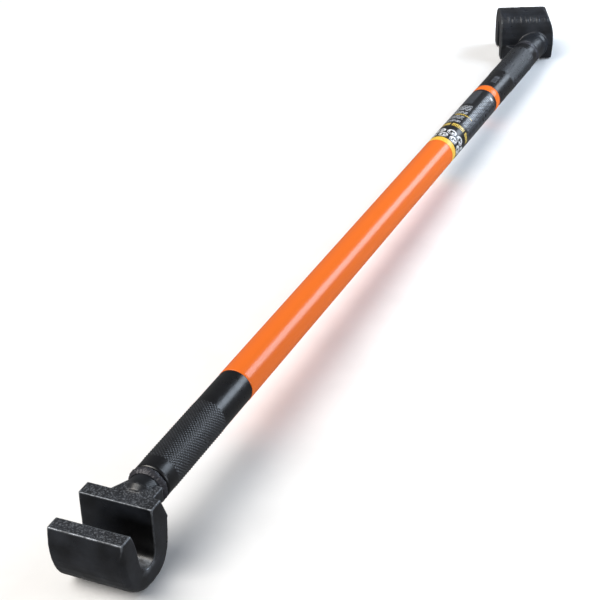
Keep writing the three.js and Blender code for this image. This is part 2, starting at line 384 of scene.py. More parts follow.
@dataclass(frozen=True)
class WeldMetal(Finish):
    """A steel weld bead under the same enamel, glossier because the bead froze smooth from the melt."""

    name: str = "weld_metal"
    dark: str = "17181C"
    pale: str = "3A3C42"

    def dress(self, tree: bpy.types.NodeTree, shader: bpy.types.Node, place: bpy.types.NodeSocket) -> None:
        """Gives the bead a glossy, unevenly tinted skin with fine solidification lines."""
        tint = add(tree, "ValToRGB", {"Fac": grain(tree, place, 5.0, 4.0)})
        set_stops(tint, [(0.35, self.dark), (0.68, self.pale)])
        tree.links.new(tint.outputs[0], shader.inputs["Base Color"])
        tree.links.new(between(tree, grain(tree, place, 3.0), 0.2, 0.36), shader.inputs["Roughness"])
        tree.links.new(emboss(tree, grain(tree, place, 1.0), 0.06, 0.5), shader.inputs["Normal"])
        shader.inputs["Metallic"].default_value = 0.35


@dataclass(frozen=True)
class BlackenedSteel(Finish):
    """Turned and knurled steel bar, chemically blackened and oiled.

    Oil leaves a satin bluish sheen on the plain bands, and the knurling's crests wear to a lighter grey.
    """

    name: str = "blackened_steel"
    dark: str = "05060A"
    pale: str = "0C0E13"
    crest: str = "70747A"
    turning_mm: float = 0.9

    def dress(self, tree: bpy.types.NodeTree, shader: bpy.types.Node, place: bpy.types.NodeSocket) -> None:
        """Adds clouded oxide, worn crests and faint turning lines along the handle."""
        oxide = add(tree, "ValToRGB", {"Fac": grain(tree, place, 14.0)})
        set_stops(oxide, [(0.3, self.dark), (0.72, self.pale)])
        worn = add(tree, "Attribute", attribute_name="crest").outputs["Fac"]
        patchy = between(tree, grain(tree, place, 3.0, 4.0), 0.35, 1.0)
        share = add(tree, "Math", {0: worn, 1: patchy}, operation="MULTIPLY", use_clamp=True).outputs[0]
        colour = add(tree, "MixRGB", {"Fac": share, "Color1": oxide.outputs[0], "Color2": linear(self.crest)})
        tree.links.new(colour.outputs[0], shader.inputs["Base Color"])
        tree.links.new(between(tree, share, 0.0, 0.7, 0.0, 1.0), shader.inputs["Metallic"])
        tree.links.new(between(tree, grain(tree, place, 6.0), 0.26, 0.36), shader.inputs["Roughness"])
        # Real turning lines are a tenth of a millimetre apart: they are drawn coarser so that they show.
        stretch = add(tree, "Mapping", {"Vector": place, "Scale": (0.04, 1.0, 0.04)}).outputs[0]
        lines = grain(tree, stretch, self.turning_mm, 2.0)
        tree.links.new(emboss(tree, lines, 0.012, 0.35), shader.inputs["Normal"])
        shader.inputs["IOR"].default_value = 1.6


@dataclass(frozen=True)
class EtchedMark(Finish):
    """The small laser-etched patch on the far band, where the oxide is bleached to a matt grey."""

    name: str = "etched_mark"
    dark: str = "3C3E43"
    pale: str = "54565B"

    def dress(self, tree: bpy.types.NodeTree, shader: bpy.types.Node, place: bpy.types.NodeSocket) -> None:
        """Gives the patch a matt, grainy grey."""
        tint = add(tree, "ValToRGB", {"Fac": grain(tree, place, 1.2)})
        set_stops(tint, [(0.35, self.dark), (0.65, self.pale)])
        tree.links.new(tint.outputs[0], shader.inputs["Base Color"])
        tree.links.new(between(tree, grain(tree, place, 0.8), 0.5, 0.7), shader.inputs["Roughness"])


@dataclass(frozen=True)
class OrangeVinyl(Finish):
    """Orange PVC sleeve, dipped and glossy: a smooth clear surface over a strong flat pigment."""

    name: str = "orange_vinyl"
    deep: str = "EC8F0A"
    light: str = "F39B0D"

    def dress(self, tree: bpy.types.NodeTree, shader: bpy.types.Node, place: bpy.types.NodeSocket) -> None:
        """Adds slight pigment clouding, handling haze in the gloss and a faint long ripple."""
        stretch = add(tree, "Mapping", {"Vector": place, "Scale": (1.0, 0.25, 1.0)}).outputs[0]
        pigment = add(tree, "ValToRGB", {"Fac": grain(tree, stretch, 18.0)})
        set_stops(pigment, [(0.3, self.deep), (0.7, self.light)])
        tree.links.new(pigment.outputs[0], shader.inputs["Base Color"])
        tree.links.new(between(tree, grain(tree, stretch, 5.0), 0.17, 0.26), shader.inputs["Roughness"])
        tree.links.new(emboss(tree, grain(tree, stretch, 9.0, 1.0), 0.05, 0.2), shader.inputs["Normal"])
        shader.inputs["IOR"].default_value = 1.53
        shader.inputs["Coat Weight"].default_value = 0.25
        shader.inputs["Coat Roughness"].default_value = 0.12


class Ink(Enum):
    """The inks of the label, as name and two sRGB shades."""

    FILM = ("film_black", "0E0F12", "191B1F")
    BORDER = ("border_yellow", "F0BE2E", "FBD056")
    WHITE = ("ink_white", "DADBDD", "F1F1F2")
    YELLOW = ("ink_yellow", "C9A93A", "EBCF6A")
    GREY = ("ink_grey", "A2A5AA", "BCBFC4")
    # A darker copy of the grey ink for the right column: painted shade that holds down the strip light's
    # highlight.
    SHADED_GREY = ("ink_grey_shaded", "6A6E75", "858A91")
    FAINT = ("ink_faint", "33363B", "45484E")


@dataclass(frozen=True)
class PrintedFilm(Finish):
    """Screen-printed polyester label film under a clear laminate, so that every ink is equally glossy."""

    ink: Ink = Ink.FILM

    @property
    def name(self) -> str:
        """The material's name."""
        return self.ink.value[0]

    def dress(self, tree: bpy.types.NodeTree, shader: bpy.types.Node, place: bpy.types.NodeSocket) -> None:
        """Adds an ink that lies a little unevenly under a scuffed glossy laminate."""
        tint = add(tree, "ValToRGB", {"Fac": grain(tree, place, 2.2)})
        set_stops(tint, [(0.35, self.ink.value[1]), (0.65, self.ink.value[2])])
        tree.links.new(tint.outputs[0], shader.inputs["Base Color"])
        tree.links.new(between(tree, grain(tree, place, 7.0), 0.26, 0.38), shader.inputs["Roughness"])
        tree.links.new(emboss(tree, grain(tree, place, 4.0), 0.03, 0.3), shader.inputs["Normal"])
        shader.inputs["IOR"].default_value = 1.58


@dataclass(frozen=True)
class DrawnTube(Finish):
    """Cold-drawn mild steel tube, bright but dull, with long die lines."""

    name: str = "drawn_tube"
    dark: str = "7E8185"
    pale: str = "A2A5A9"

    def dress(self, tree: bpy.types.NodeTree, shader: bpy.types.Node, place: bpy.types.NodeSocket) -> None:
        """Adds die lines that run along the tube."""
        stretch = add(tree, "Mapping", {"Vector": place, "Scale": (1.0, 0.01, 1.0)}).outputs[0]
        lines = grain(tree, stretch, 1.5, 5.0)
        tint = add(tree, "ValToRGB", {"Fac": lines})
        set_stops(tint, [(0.3, self.dark), (0.7, self.pale)])
        tree.links.new(tint.outputs[0], shader.inputs["Base Color"])
        tree.links.new(between(tree, lines, 0.35, 0.5), shader.inputs["Roughness"])
        tree.links.new(emboss(tree, lines, 0.02, 0.4), shader.inputs["Normal"])
        shader.inputs["Metallic"].default_value = 1.0


@dataclass(frozen=True)
class StudioPaper(Finish):
    """Matt white background paper, nearly even, with a faint tooth."""

    name: str = "studio_paper"
    dark: str = "F4F4F4"
    pale: str = "FAFAFA"

    def dress(self, tree: bpy.types.NodeTree, shader: bpy.types.Node, place: bpy.types.NodeSocket) -> None:
        """Gives the paper a barely visible tooth."""
        tint = add(tree, "ValToRGB", {"Fac": grain(tree, place, 60.0)})
        set_stops(tint, [(0.3, self.dark), (0.7, self.pale)])
        tree.links.new(tint.outputs[0], shader.inputs["Base Color"])
        shader.inputs["Roughness"].default_value = 0.9
        shader.inputs["Specular IOR Level"].default_value = 0.1


# ------------------------------------------------------------------------------
# Sub-assemblies
# ------------------------------------------------------------------------------


class End(Enum):
    """The tool's two ends."""

    NEAR = "near"
    FAR = "far"


@dataclass(frozen=True)
class DieMark:
    """A small block raised on the outside of a bend, placed in the hook's own frame."""

    across: float
    along: float
    half_width: float
    half_length: float


@dataclass
class ForgedHook:
    """A forged J-shaped hook with its web and neck, all one piece of steel.

    Its own frame has the heel at the origin, X across the jaws, -Y from the heel towards the front jaw, and
    the bend down.
    """

    tool: ToolFrame
    end: End
    neck_length: float
    tip_level: float
    height: float
    yaw: float
    voxel: float = 0.75
    tooth: float = 0.46
    tooth_size: float = 1.7
    tooth_sink: float = 0.4
    wave: float = 0.1
    wave_size: float = 9.0
    streak: float = 0.7
    streak_size: float = 2.1
    streak_level: float = 0.91
    streak_spread: float = 0.075
    neck_clear: float = 15.2
    mark_height: float = 1.1
    mark_edge: float = 0.8
    marks_at: tuple[DieMark, ...] = (DieMark(-24, -37, 2.8, 3.2), DieMark(-10.5, -38, 3.4, 3.0))
    pit_depth: float = 1.3
    pit_at: tuple[float, float] = (-7.5, -27)
    pit_spread: float = 7.0
    edge_wear_and_highlight: float = 0.22
    floor_highlight: float = 0.9
    floor_share: float = 0.71045
    throat_depth: float = 37.0
    jaw_thickness: float = 14.7
    throat_width: float = 24.0

    def head_frame(self) -> Matrix:
        """Gives the matrix from the hook's own frame, heel at the origin and bend down, to the tool frame."""
        start, end = self.tool.stations(f"{self.end.value}_grip")
        turn = Matrix.Rotation(-math.radians(self.yaw), 4, "Z")
        if self.end is End.NEAR:
            return Matrix.Translation((0, start - self.neck_length, 0)) @ turn
        flip = Matrix.Rotation(math.pi, 4, "X")
        return Matrix.Translation((0, end + self.neck_length, 0)) @ flip @ turn

    def remeshed(self, place: Matrix) -> bpy.types.Mesh:
        """Copies the CAD hook into its own frame and gives it an even fine mesh."""
        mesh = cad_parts[f"{self.end.value}_hook"].data.copy()
        mesh.transform((self.tool.matrix @ place).inverted())
        work = bmesh.new()
        work.from_mesh(mesh)
        bmesh.ops.remove_doubles(work, verts=work.verts, dist=0.001)
        work.to_mesh(mesh)
        work.free()
        rough = bpy.data.objects.new("hook_blank", mesh)
        bpy.context.scene.collection.objects.link(rough)
        remesh = rough.modifiers.new("even", "REMESH")
        remesh.mode = "VOXEL"
        remesh.voxel_size = self.voxel
        remesh.use_smooth_shade = True
        ease = rough.modifiers.new("ease", "SMOOTH")
        ease.factor = 0.5
        ease.iterations = 3
        graph = bpy.context.evaluated_depsgraph_get()
        fine = bpy.data.meshes.new_from_object(rough.evaluated_get(graph))
        bpy.data.objects.remove(rough)
        bpy.data.meshes.remove(mesh)
        return fine

    @staticmethod
    def edge_sharpness(mesh: bpy.types.Mesh, points: np.ndarray, normals: np.ndarray) -> np.ndarray:
        """Measures how sharply the surface turns outwards at each vertex, from 0 on flats to 1 on edges."""
        pairs = np.zeros(len(mesh.edges) * 2, np.int64)
        mesh.edges.foreach_get("vertices", pairs)
        first, second = pairs.reshape(-1, 2).T
        total = np.zeros_like(points)
        count = np.zeros(len(points))
        for a, b in ((first, second), (second, first)):
            np.add.at(total, a, points[b])
            np.add.at(count, a, 1)
        inward = points - total / count[:, None]
        sharp = np.einsum("ij,ij->i", inward, normals)
        for _ in range(2):
            spread = np.zeros(len(points))
            np.add.at(spread, first, sharp[second])
            np.add.at(spread, second, sharp[first])
            sharp = (sharp + spread / count) / 2
        sharpest = np.quantile(sharp, 0.992)
        return np.clip(sharp / sharpest, 0, 1)

    def rough_mask(self, points: np.ndarray, normals: np.ndarray) -> np.ndarray:
        """Marks the untrimmed faces of the forging: the jaw tips and the top of the web."""
        level = 1 - ramp(np.abs(points[:, 2] - self.tip_level), 1.2, 1)
        facing = ramp(normals[:, 2], 0.45, 0.3)
        outside_neck = ramp(np.hypot(points[:, 0], points[:, 2]), self.neck_clear, 1.5)
        return level * facing * np.where(points[:, 1] > 0, outside_neck, 1)

    def streak_mask(self, points: np.ndarray) -> np.ndarray:
        """Marks the band where the outside of the bend turns up into the heel."""
        depth = -points[:, 1]
        below = self.tip_level - points[:, 2]
        middle = self.streak_level * self.height
        spread = self.streak_spread * self.height
        return np.exp(-(((below - middle) / spread) ** 2)) * (1 - ramp(depth, 16, 6))

    def noise_at(
        self, points: np.ndarray, size: float, stretch: tuple[float, float, float] = (1, 1, 1)
    ) -> np.ndarray:
        """Samples smooth seeded noise at each point, with features of the given size in millimetres."""
        scaled = points / size * np.array(stretch) + self.height
        return np.array([noise.noise(Vector(p)) for p in scaled])

    def marks(self, points: np.ndarray) -> np.ndarray:
        """Raises the small blocks that the forging die leaves on the outside of the far bend."""
        if self.end is End.NEAR:
            return np.zeros(len(points))
        raised = np.zeros(len(points))
        on_bend = ramp(self.tip_level - self.height - points[:, 2], -8, 2)
        for mark in self.marks_at:
            side = np.clip((mark.half_width - abs(points[:, 0] - mark.across)) / self.mark_edge, 0, 1)
            length = np.clip((mark.half_length - abs(points[:, 1] - mark.along)) / self.mark_edge, 0, 1)
            raised += self.mark_height * side * length
        away = (points[:, 0] - self.pit_at[0]) ** 2 + (points[:, 1] - self.pit_at[1]) ** 2
        return (raised - self.pit_depth * np.exp(-away / self.pit_spread)) * on_bend

    def build(self) -> bpy.types.Object:
        """Makes the hook with its forged skin, and paints the masks that its finish reads."""
        place = self.head_frame()
        mesh = self.remeshed(place)
        points = vertex_rows(mesh, "co")
        normals = vertex_rows(mesh, "normal")
        sharp = self.edge_sharpness(mesh, points, normals)
        cast = self.rough_mask(points, normals)
        inside = np.clip(1 - sharp, 0, 1)
        lift = self.wave * self.noise_at(points, self.wave_size)
        lift += cast * inside * self.tooth * (self.noise_at(points, self.tooth_size) - self.tooth_sink)
        lift += cast * inside * 0.5 * self.tooth * self.noise_at(points, self.tooth_size / 2)
        if self.end is End.FAR:
            streaks = self.noise_at(points, self.streak_size, (1, 0.2, 0.2))
            lift += self.streak * self.streak_mask(points) * streaks
            lift += self.marks(points)
        moved = points + normals * lift[:, None]
        mesh.vertices.foreach_set("co", moved.ravel())
        masks = {"wear_and_highlight": self.wear_and_highlight(points, sharp), "cast": cast, "throat_shade": self.throat_shade(points, normals)}
        for name, values in masks.items():
            layer = mesh.attributes.new(name, "FLOAT", "POINT")
            layer.data.foreach_set("value", values.astype(np.float32))
        mesh.transform(self.tool.matrix @ place)
        self.hold_in_box(mesh)
        mesh.update()
        mesh.shade_smooth()
        piece = bpy.data.objects.new(f"{self.end.value}_forged_hook", mesh)
        bpy.context.scene.collection.objects.link(piece)
        fit(piece, f"{self.end.value}_hook", [ForgedEnamel().material()])
        return piece

    def hold_in_box(self, mesh: bpy.types.Mesh) -> None:
        """Holds the forged skin, now in metres, inside the box of the CAD hook."""
        low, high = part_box(f"{self.end.value}_hook")
        held = np.clip(vertex_rows(mesh, "co"), np.array(low), np.array(high))
        mesh.vertices.foreach_set("co", held.ravel())

    def throat_shade(self, points: np.ndarray, normals: np.ndarray) -> np.ndarray:
        """Marks the throat for painted shade, darkest towards the right, where the front jaw shades the back
        wall.
        """
        depth = -points[:, 1]
        middle = self.jaw_thickness + self.throat_width / 2
        between_jaws = 1 - ramp(np.abs(depth - middle), self.throat_width / 2 - 1, 2)
        below_tips = ramp(self.tip_level - points[:, 2], 5, 12)
        to_right = ramp(points[:, 0], -30, 30)
        off_the_ends = 1 - ramp(np.abs(normals[:, 0]), 0.4, 0.2)
        off_the_underside = ramp(normals[:, 2], -0.4, 0.3)
        return between_jaws * below_tips * to_right * off_the_ends * off_the_underside

    def wear_and_highlight(self, points: np.ndarray, sharp: np.ndarray) -> np.ndarray:
        """Marks the pale edges and the pale throat floor.

        The edges are partly rubbed-off enamel and partly painted highlight. The throat-floor patch is a
        painted highlight.
        """
        at_tips = 1 - ramp(self.tip_level - points[:, 2], 2.5, 4)
        edge = ramp(sharp, 0.35, 0.5) * (self.edge_wear_and_highlight + (1 - self.edge_wear_and_highlight) * at_tips)
        # The throat-floor patch is a painted highlight, kept to the right side where it shows.
        floor = self.tip_level - self.floor_share * self.height
        near_floor = np.exp(-(((points[:, 2] - floor) / 2.5) ** 2))
        in_throat = np.exp(-(((-points[:, 1] - self.throat_depth) / 7) ** 2))
        to_right = ramp(points[:, 0], 4, 10)
        return np.clip(edge + self.floor_highlight * near_floor * in_throat * to_right, 0, 1)


@dataclass
class WeldBead:
    """The bead that joins a hook's neck to its grip, laid down as overlapping ripples."""

    tool: ToolFrame
    end: End
    profile: Profile
    seat: float = 15.0
    columns: int = 288
    ripple_pitch: float = 3.4
    ripple: float = 0.3
    lump: float = 0.75
    lump_size: float = 3.4
    fine_ratio: float = 2.1
    fine_shift: float = 7.0
    sway: float = 0.21
    chevron: float = 0.14
    settle: float = 0.3
    highest: float = 1.2

    def section(self) -> Profile:
        """Gives the bead's closed section in (radius, distance from the grip), rounded between its points."""
        outer = np.array(self.profile)
        for _ in range(3):
            cut = np.empty((2 * len(outer) - 2, 2))
            cut[0::2] = 0.75 * outer[:-1] + 0.25 * outer[1:]
            cut[1::2] = 0.25 * outer[:-1] + 0.75 * outer[1:]
            outer = np.vstack([outer[:1], cut, outer[-1:]])
        return [(self.seat, outer[0, 1]), *map(tuple, outer), (self.seat, outer[-1, 1])]

    def lumps(self, offset: np.ndarray, angle: np.ndarray) -> np.ndarray:
        """Gives the bead's uneven swelling, from a seeded noise in two sizes, in millimetres."""
        places = np.stack([self.seat * np.sin(angle), offset, self.seat * np.cos(angle)], -1).reshape(-1, 3)
        coarse = np.array([noise.noise(Vector(p)) for p in places / self.lump_size])
        small = places / self.lump_size * self.fine_ratio + self.fine_shift
        fine = np.array([noise.noise(Vector(p)) for p in small])
        return (self.lump * (coarse + 0.5 * fine)).reshape(angle.shape)

    def build(self) -> bpy.types.Object:
        """Makes the bead, with a chevron of ripples that leans the way the torch travelled."""
        start, end = self.tool.stations(f"{self.end.value}_grip")
        section = self.section()
        far = self.end is End.FAR
        stations = [(r, end - s if far else start + s) for r, s in section]
        if far:
            stations.reverse()
        lathe = Lathe(stations, self.columns)
        radii = np.array([r for r, _ in stations])
        middle = np.mean([s for _, s in stations])
        offset = np.array([s - middle for _, s in stations])
        proud = np.clip((radii - self.seat) / 1.5, 0, 1)

        def relief(row: np.ndarray, angle: np.ndarray) -> np.ndarray:
            """Gives the ripples' height from the section point and the angle."""
            lean = offset[row] ** 2 * self.chevron
            turns = 2 * math.pi * radii.max() / self.ripple_pitch
            drift = 0.8 * np.sin(3 * angle + 1) + 0.5 * np.sin(7 * angle)
            wave = np.abs(np.sin((angle * round(turns) + lean + drift) / 2))
            slow = self.sway * (np.sin(2 * angle + 2.2) + 0.6 * np.sin(5 * angle))
            rise = self.ripple * (wave - 1) + slow + self.lumps(offset[row], angle) - self.settle
            return proud[row] * np.minimum(rise, self.highest)

        points = self.tool.to_row(lathe.points(relief))
        piece = object_from(f"{self.end.value}_rippled_bead", points, lathe.faces(), 60)
        fit(piece, f"{self.end.value}_weld_bead", [WeldMetal().material()])
        return piece


@dataclass
class KnurledGrip:
    """A turned steel grip with a diamond-knurled stretch, a shank bore and a spigot for the tube."""

    tool: ToolFrame
    end: End
    plain_radius: float = 17.5
    crest_radius: float = 18.0
    knurl_depth: float = 0.62
    lead_in: float = 16.5
    knurl_length: float = 87.0
    diamond_length: float = 3.39
    diamonds_round: int = 36
    facets: int = 8
    chamfer: float = 1.5
    bore: float = 9.3
    bore_depth: float = 44.0
    spigot: float = 11.9
    spigot_length: float = 60.0
    knurl_run_out: float = 0.6
    marked: bool = False
    mark_turn: float = 12.0
    mark_station: float = 19.0
    mark_pitch: float = 11.0
    first_half: float = 5.5
    second_half: float = 3.5
    mark_half_turn: float = 11.0

    def outline(self, length: float) -> tuple[Profile, list[bool]]:
        """Lists the grip's outline in (radius, distance from its outer end), knurling included.

        Args:
            length: Distance from the outer end to the shoulder against the orange sleeve.

        Returns:
            The outline from the blind end of the bore round to the spigot's end, and which of its points
            are knurled.
        """
        step = self.diamond_length / self.facets
        knurl_end = self.lead_in + self.knurl_length
        points: Profile = [(AXIS_RADIUS, self.bore_depth + 4), (self.bore, self.bore_depth + 1)]
        points += [(self.bore, 0.0)]
        points += [(self.plain_radius - self.chamfer, 0.0), (self.plain_radius - 0.5, 0.5)]
        points += [(self.plain_radius, s) for s in even_steps(self.chamfer, self.lead_in - 1.2, 1.5)]
        knurled = [False] * len(points)
        knurl = even_steps(self.lead_in - self.knurl_run_out, knurl_end + self.knurl_run_out, step)
        points += [(self.crest_radius, s) for s in knurl]
        knurled += [True] * len(knurl)
        points += [(self.plain_radius, s) for s in even_steps(knurl_end + 1.2, length - 0.4, 1.0)]
        points += [
            (self.plain_radius - 0.35, length),
            (self.spigot, length),
            (self.spigot, length + self.spigot_length - self.chamfer),
            (self.spigot - self.chamfer, length + self.spigot_length),
            (AXIS_RADIUS, length + self.spigot_length),
        ]
        return points, knurled + [False] * (len(points) - len(knurled))

    def diamond(self, station: np.ndarray, angle: np.ndarray) -> np.ndarray:
        """Gives how high the knurling stands, from 0 in its grooves to 1 on its crests.

        Args:
            station: Distance along the handle, in millimetres.
            angle: Angle round the handle, in radians.

        Returns:
            The lower of the two families of helical ridges.
        """
        along = station / self.diamond_length
        around = angle * self.diamonds_round / (2 * math.pi)
        heights = []
        for turn in (along + around, along - around):
            heights.append(np.abs((turn % 1.0) - 0.5) * 2)
        return np.minimum(*heights)

    def build(self) -> bpy.types.Object:
        """Makes the grip with its knurling cut as real geometry."""
        start, end = self.tool.stations(f"{self.end.value}_grip")
        far = self.end is End.FAR
        outer = end if far else start
        length = abs(outer) - abs(self.tool.stations("orange_sleeve")[0]) - 0.3
        outline, kinds = self.outline(length)
        columns = self.diamonds_round * self.facets
        profile = [(r, outer - s if far else outer + s) for r, s in outline]
        if far:
            profile.reverse()
            kinds.reverse()
        lathe = Lathe(profile, columns, closed=False)
        stations = np.array([s for _, s in profile])
        knurled = np.array(kinds)
        edge = np.abs(np.abs(stations - outer) - self.lead_in - self.knurl_length / 2)
        fade = np.clip((self.knurl_length / 2 + self.knurl_run_out - edge) / 0.8, 0, 1)

        def relief(row: np.ndarray, angle: np.ndarray) -> np.ndarray:
            """Sinks the knurling's grooves below its crests."""
            height = self.diamond(stations[row], angle)
            step = self.crest_radius - self.plain_radius
            sunk = (height - 1) * self.knurl_depth * fade[row] - step * (1 - fade[row])
            return np.where(knurled[row], sunk, 0.0)

        points = lathe.points(relief)
        name = f"{self.end.value}_knurled_grip"
        piece = object_from(name, self.tool.to_row(points), lathe.faces(), 40)
        number = np.repeat(np.arange(len(profile)), columns)
        angle = np.tile(lathe.angles(), len(profile))
        crest = self.diamond(stations[number], angle) ** 2 * knurled[number] * fade[number]
        layer = piece.data.attributes.new("crest", "FLOAT", "POINT")
        layer.data.foreach_set("value", crest.astype(np.float32))
        materials = [BlackenedSteel().material(), EtchedMark().material()]
        fit(piece, f"{self.end.value}_grip", materials)
        if self.marked:
            self.etch(piece, points)
        return piece

    def etch(self, piece: bpy.types.Object, points: np.ndarray) -> None:
        """Gives the faces of a small two-square patch on the plain band the etched finish."""
        sleeve_end = self.tool.stations("orange_sleeve")[1]
        for polygon in piece.data.polygons:
            corner = points[list(polygon.vertices)].mean(0)
            along = corner[1] - sleeve_end - self.mark_station
            turn = abs(math.degrees(math.atan2(corner[0], corner[2])) - self.mark_turn)
            outside = math.hypot(corner[0], corner[2]) > self.plain_radius - 0.3
            in_first = abs(along) < self.first_half
            in_second = abs(along - self.mark_pitch) < self.second_half
            hollow = abs(along) < 3.5 and 2 < turn < 6
            if outside and (in_first or in_second) and turn < self.mark_half_turn and not hollow:
                polygon.material_index = 1


@dataclass
class OrangeSleeve:
    """The glossy sleeve over the middle of the handle, rolled down where the label sits."""

    tool: ToolFrame
    radius: float = 17.75
    bore: float = 16.5
    recess: float = 0.55
    gap: float = 0.3
    lip: float = 0.35
    edge: float = 0.1
    columns: int = 160

    def build(self) -> bpy.types.Object:
        """Makes the sleeve as a turned tube with softly rounded ends."""
        start, end = self.tool.stations("orange_sleeve")
        seat_start = self.tool.stations("label_border")[0] - self.gap
        seat_end = self.tool.stations("label_wrap")[1] + self.gap
        seat = self.radius - self.recess
        inner = self.radius - self.edge
        outline: Profile = [(self.bore, start), (self.radius - self.lip, start)]
        outline += [(inner, start + self.edge), (self.radius, start + self.lip)]
        outline += [(self.radius, s) for s in even_steps(start + 4, seat_start - 1, 8)]
        outline += [(self.radius, seat_start - self.edge), (inner, seat_start), (seat, seat_start)]
        outline += [(seat, seat_end), (inner, seat_end), (self.radius, seat_end + self.edge)]
        outline += [(self.radius, end - self.lip), (inner, end - self.edge)]
        outline += [(self.radius - self.lip, end), (self.bore, end)]
        lathe = Lathe(outline, self.columns)
        piece = object_from("orange_vinyl_sleeve", self.tool.to_row(lathe.points()), lathe.faces(), 50)
        fit(piece, "orange_sleeve", [OrangeVinyl().material()])
        return piece


@dataclass(frozen=True)
class Area:
    """A patch of the label, in degrees round the handle and millimetres from the label's near end."""

    left: float
    right: float
    start: float
    end: float

    def covers(self, angle: np.ndarray, station: np.ndarray) -> np.ndarray:
        """Tells which places lie on the patch."""
        across = (angle > self.left) & (angle < self.right)
        return across & (station > self.start) & (station < self.end)


@dataclass
class Label:
    """The printed film round the handle and the yellow border band beside it."""

    tool: ToolFrame
    radius: float = 17.75
    bore: float = 17.5
    columns: int = 200
    row_height: float = 0.7
    edge: float = 0.08
    discs_round: int = 8
    letter_pitch: float = 3.9
    headline: float = 38.0
    subline: float = 69.0
    line_pitch: float = 3.3
    line_height: float = 2.0
    left_text: Area = Area(-64, 20, 45, 97)
    right_text: Area = Area(30, 68, 47, 146)
    panel: Area = Area(-55, 5, 104, 146)
    side_band: Area = Area(70, 104, 40, 147)
    back_text: Area = Area(118, 181, 32, 142)

    def ring(
        self, node: str, name: str, materials: list[bpy.types.Material]
    ) -> bpy.types.Object:
        """Makes a thin ring of film in a CAD ring's place, with faces small enough to carry print."""
        start, end = self.tool.stations(node)
        outline: Profile = [(self.bore, start), (self.radius - self.edge, start)]
        outline += [(self.radius, s) for s in even_steps(start + 0.1, end - 0.1, self.row_height)]
        outline += [(self.radius - self.edge, end), (self.bore, end)]
        lathe = Lathe(outline, self.columns)
        piece = object_from(name, self.tool.to_row(lathe.points()), lathe.faces(), 50)
        fit(piece, node, materials)
        return piece

    def build(self) -> list[bpy.types.Object]:
        """Makes the border band and the printed label."""
        yellow = [PrintedFilm(Ink.BORDER).material()]
        border = self.ring("label_border", "yellow_border_band", yellow)
        inks = [Ink.FILM, Ink.WHITE, Ink.YELLOW, Ink.GREY, Ink.SHADED_GREY, Ink.FAINT]
        printed = [PrintedFilm(ink).material() for ink in inks]
        label = self.ring("label_wrap", "printed_label", printed)
        start = self.tool.stations("label_wrap")[0]
        centres = np.array([label.data.polygons[i].center for i in range(len(label.data.polygons))])
        places = self.tool.to_tool(centres)
        angle = np.degrees(np.arctan2(places[:, 0], places[:, 2]))
        chosen = self.print_at(angle, places[:, 1] - start)
        outside = np.hypot(places[:, 0], places[:, 2]) > self.radius - 0.05
        numbers = np.where(outside, chosen, 0).astype(np.int32)
        label.data.polygons.foreach_set("material_index", numbers)
        return [border, label]

    def print_at(self, angle: np.ndarray, station: np.ndarray) -> np.ndarray:
        """Chooses the ink at each place of the label: plain discs, blocks and bars that spell nothing.

        Args:
            angle: Degrees from the top towards the right.
            station: Distance from the label's near end, in millimetres.

        Returns:
            The number of the ink in the label's list of materials.
        """
        film, white, yellow, grey, shaded_grey, faint = range(6)
        ink = np.full(angle.shape, film)
        arc = np.radians(angle) * self.radius
        pitch = 2 * math.pi * self.radius / self.discs_round
        # Two staggered rows of round pictograms with a dark shape inside.
        for row_station, shift, size in ((18.5, 0.0, 5.9), (6.8, 6.9, 5.6)):
            across = (arc + shift) % pitch - pitch / 2
            along = station - row_station
            away = np.hypot(across, along)
            ink[away < size] = white
            ink[(np.abs(across + 1.1) < 1.25) & (np.abs(along) < 3.1)] = film
            ink[np.hypot(across - 1.9, along - 1.4) < 1.6] = film
            ink[(np.abs(away - 4.4) < 0.5) & (along < -0.6)] = film
        # A bold row of yellow blocks, and a thinner broken one further on.
        in_letter = arc % self.letter_pitch
        letters = (in_letter < 3.1) & (arc % 19 < 17)
        ink[letters & (np.abs(station - self.headline) < 3.6) & (np.abs(angle - 20) < 82)] = yellow
        notch = (in_letter > 0.9) & (in_letter < 2.0)
        ink[letters & notch & (np.abs(station - self.headline + 1) < 1.2)] = film
        ink[(arc % 2.4 < 1.8) & (np.abs(station - self.subline) < 1.3) & (np.abs(angle - 12) < 38)] = yellow
        # Columns of fine grey lines, broken into words.
        words = (arc * 1.31 + np.floor(station / self.line_pitch) * 5.7) % 7.9 < 6.4
        lines = (station % self.line_pitch < self.line_height) & words
        left = self.left_text.covers(angle, station) & (np.abs(station - self.subline) > 3)
        left &= (station % 26) > 4
        ink[lines & left] = grey
        # The right column's lines use the darker grey copy, painted shade where the strip light is strongest.
        ink[lines & self.right_text.covers(angle, station)] = shaded_grey
        ink[self.panel.covers(angle, station)] = faint
        ink[(np.abs(angle - 25) < 3) & (station % 14 < 5) & (station > 46)] = film
        # Heavy dark blocks on a faint band along the right side.
        band = self.side_band.covers(angle, station)
        ink[band] = faint
        ink[band & (station % 12 < 8.4) & (np.abs(angle - 85) < 8)] = film
        ink[np.hypot(arc - 16.8, station - 141) < 2.4] = white
        # The side turned away repeats the grey columns.
        ink[lines & self.back_text.covers(np.abs(angle), station)] = grey
        return ink


@dataclass
class CentreTube:
    """The steel tube inside the sleeve, which keeps its CAD shape."""

    node: str = "centre_tube"

    def build(self) -> bpy.types.Object:
        """Gives the CAD tube its finish."""
        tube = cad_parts[self.node]
        tube.data.materials.clear()
        tube.data.materials.append(DrawnTube().material())
        LOG.info("%s keeps its CAD shape", self.node)
        return tube


